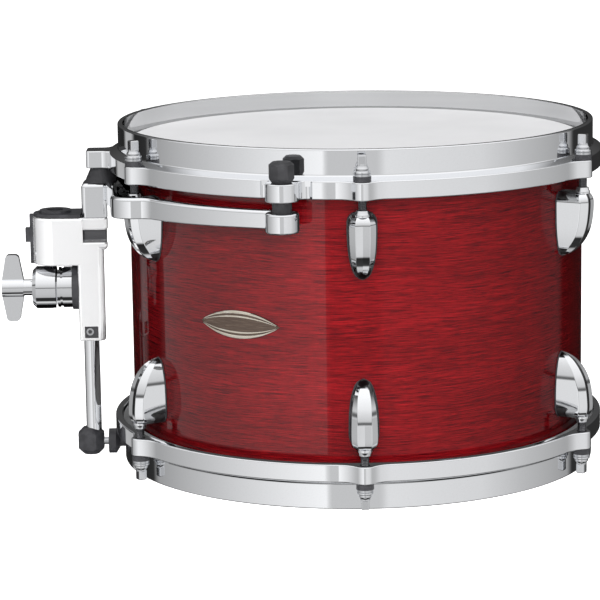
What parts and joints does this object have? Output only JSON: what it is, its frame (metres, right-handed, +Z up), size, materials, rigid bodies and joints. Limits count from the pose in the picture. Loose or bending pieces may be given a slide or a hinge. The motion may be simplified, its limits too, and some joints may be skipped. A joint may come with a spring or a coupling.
{
  "type": "tom tom drum",
  "caption": "Rack tom drum: wooden shell, two heads held by die-cast hoops and tension rods, and a hoop-hung bracket with a wing-nut clamp for a holder rod and a stay with a bumper.",
  "frame": {"origin": "on the drum's axis, in the plane of the lower (resonant) hoop's rim, which the drum stands on", "axes": "+Z up along the drum's axis to the batter head, -X towards the holder bracket, -Y towards the badge side"},
  "size_m": [0.4025, 0.3506, 0.2274],
  "materials": {
    "red_wood": "red stain under gloss lacquer",
    "chrome": "polished",
    "steel": "plated",
    "rubber": "matte",
    "black_plastic": "fine moulded grain",
    "head_film": "white coating, faintly rough",
    "aluminium": "satin",
    "badge_metal": "brushed"
  },
  "bodies": {
    "drum": {"shell": "red_wood", "badge": "badge_metal", "vent_grommet": "chrome", "batter_head_film": "head_film", "batter_flesh_hoop": "aluminium", "resonant_head_film": "head_film", "resonant_flesh_hoop": "aluminium", "upper_lugs": "chrome", "lower_lugs": "chrome", "lug_gaskets": "rubber", "swivel_nuts": "steel", "lug_screws": "steel", "lug_screw_washers": "steel"},
    "hoop_and_bracket": {"batter_hoop": "chrome", "batter_nylon_washers": "black_plastic", "batter_steel_washers": "steel", "mount_frame": "chrome", "hanger_pins": "steel", "hanger_caps": "rubber", "hanger_bushes": "rubber", "clamp_housing": "chrome", "housing_screws": "steel", "rod_guide": "black_plastic", "clamp_plate": "black_plastic", "inner_jaw": "chrome", "eyebolt": "steel", "stay_set_screw": "steel"},
    "lower_hoop": {"resonant_hoop": "chrome", "resonant_nylon_washers": "black_plastic", "resonant_steel_washers": "steel"},
    "clamp_jaw": {"outer_jaw": "chrome"},
    "wing_nut": {"wing_nut": "chrome"},
    "stay": {"stay_tube": "chrome", "stay_foot": "black_plastic", "bumper_stud": "steel"},
    "bumper": {"bumper_knob": "black_plastic"},
    "batter_rod_1": {"batter_rod_1": "steel"},
    "resonant_rod_1": {"resonant_rod_1": "steel"},
    "batter_rod_2": {"batter_rod_2": "steel"},
    "resonant_rod_2": {"resonant_rod_2": "steel"},
    "batter_rod_3": {"batter_rod_3": "steel"},
    "resonant_rod_3": {"resonant_rod_3": "steel"},
    "batter_rod_4": {"batter_rod_4": "steel"},
    "resonant_rod_4": {"resonant_rod_4": "steel"},
    "batter_rod_5": {"batter_rod_5": "steel"},
    "resonant_rod_5": {"resonant_rod_5": "steel"},
    "batter_rod_6": {"batter_rod_6": "steel"},
    "resonant_rod_6": {"resonant_rod_6": "steel"}
  },
  "joints": [
    {"name": "batter_hoop_lift", "type": "slide", "parent": "drum", "child": "hoop_and_bracket", "axis": [0, 0, 1], "range_m": [0, 0.00159]},
    {"name": "resonant_hoop_drop", "type": "slide", "parent": "drum", "child": "lower_hoop", "axis": [0, 0, -1], "range_m": [0, 0.00159]},
    {"name": "batter_rod_1_turn", "type": "hinge", "parent": "hoop_and_bracket", "child": "batter_rod_1", "pos_m": [0, 0.1658, 0.2105], "axis": [0, 0, 1], "range_deg": [-5, 545]},
    {"name": "batter_rod_2_turn", "type": "hinge", "parent": "hoop_and_bracket", "child": "batter_rod_2", "pos_m": [0.14359, 0.0829, 0.2105], "axis": [0, 0, 1], "range_deg": [-5, 545]},
    {"name": "batter_rod_3_turn", "type": "hinge", "parent": "hoop_and_bracket", "child": "batter_rod_3", "pos_m": [0.14359, -0.0829, 0.2105], "axis": [0, 0, 1], "range_deg": [-5, 545]},
    {"name": "batter_rod_4_turn", "type": "hinge", "parent": "hoop_and_bracket", "child": "batter_rod_4", "pos_m": [0, -0.1658, 0.2105], "axis": [0, 0, 1], "range_deg": [-5, 545]},
    {"name": "batter_rod_5_turn", "type": "hinge", "parent": "hoop_and_bracket", "child": "batter_rod_5", "pos_m": [-0.14359, -0.0829, 0.2105], "axis": [0, 0, 1], "range_deg": [-5, 545]},
    {"name": "batter_rod_6_turn", "type": "hinge", "parent": "hoop_and_bracket", "child": "batter_rod_6", "pos_m": [-0.14359, 0.0829, 0.2105], "axis": [0, 0, 1], "range_deg": [-5, 545]},
    {"name": "resonant_rod_1_turn", "type": "hinge", "parent": "lower_hoop", "child": "resonant_rod_1", "pos_m": [0, 0.1658, 0.0169], "axis": [0, 0, -1], "range_deg": [-5, 545]},
    {"name": "resonant_rod_2_turn", "type": "hinge", "parent": "lower_hoop", "child": "resonant_rod_2", "pos_m": [0.14359, 0.0829, 0.0169], "axis": [0, 0, -1], "range_deg": [-5, 545]},
    {"name": "resonant_rod_3_turn", "type": "hinge", "parent": "lower_hoop", "child": "resonant_rod_3", "pos_m": [0.14359, -0.0829, 0.0169], "axis": [0, 0, -1], "range_deg": [-5, 545]},
    {"name": "resonant_rod_4_turn", "type": "hinge", "parent": "lower_hoop", "child": "resonant_rod_4", "pos_m": [0, -0.1658, 0.0169], "axis": [0, 0, -1], "range_deg": [-5, 545]},
    {"name": "resonant_rod_5_turn", "type": "hinge", "parent": "lower_hoop", "child": "resonant_rod_5", "pos_m": [-0.14359, -0.0829, 0.0169], "axis": [0, 0, -1], "range_deg": [-5, 545]},
    {"name": "resonant_rod_6_turn", "type": "hinge", "parent": "lower_hoop", "child": "resonant_rod_6", "pos_m": [-0.14359, 0.0829, 0.0169], "axis": [0, 0, -1], "range_deg": [-5, 545]},
    {"name": "jaw_open", "type": "slide", "parent": "hoop_and_bracket", "child": "clamp_jaw", "axis": [-1, 0, 0], "range_m": [0, 0.004]},
    {"name": "wing_nut_turn", "type": "hinge", "parent": "clamp_jaw", "child": "wing_nut", "pos_m": [-0.2175, 0, 0.1155], "axis": [-1, 0, 0], "range_deg": [-5, 1160]},
    {"name": "stay_drop", "type": "slide", "parent": "hoop_and_bracket", "child": "stay", "axis": [0, 0, -1], "range_m": [0, 0.03]},
    {"name": "bumper_travel", "type": "slide", "parent": "stay", "child": "bumper", "axis": [-1, 0, 0], "range_m": [0, 0.0018]}
  ],
  "couplings": [
    {"joint": "batter_rod_1_turn", "follows": "batter_hoop_lift", "rad_per_m": 5936.9},
    {"joint": "batter_rod_2_turn", "follows": "batter_hoop_lift", "rad_per_m": 5936.9},
    {"joint": "batter_rod_3_turn", "follows": "batter_hoop_lift", "rad_per_m": 5936.9},
    {"joint": "batter_rod_4_turn", "follows": "batter_hoop_lift", "rad_per_m": 5936.9},
    {"joint": "batter_rod_5_turn", "follows": "batter_hoop_lift", "rad_per_m": 5936.9},
    {"joint": "batter_rod_6_turn", "follows": "batter_hoop_lift", "rad_per_m": 5936.9},
    {"joint": "resonant_rod_1_turn", "follows": "resonant_hoop_drop", "rad_per_m": 5936.9},
    {"joint": "resonant_rod_2_turn", "follows": "resonant_hoop_drop", "rad_per_m": 5936.9},
    {"joint": "resonant_rod_3_turn", "follows": "resonant_hoop_drop", "rad_per_m": 5936.9},
    {"joint": "resonant_rod_4_turn", "follows": "resonant_hoop_drop", "rad_per_m": 5936.9},
    {"joint": "resonant_rod_5_turn", "follows": "resonant_hoop_drop", "rad_per_m": 5936.9},
    {"joint": "resonant_rod_6_turn", "follows": "resonant_hoop_drop", "rad_per_m": 5936.9},
    {"joint": "wing_nut_turn", "follows": "jaw_open", "rad_per_m": 5026.5}
  ]
}
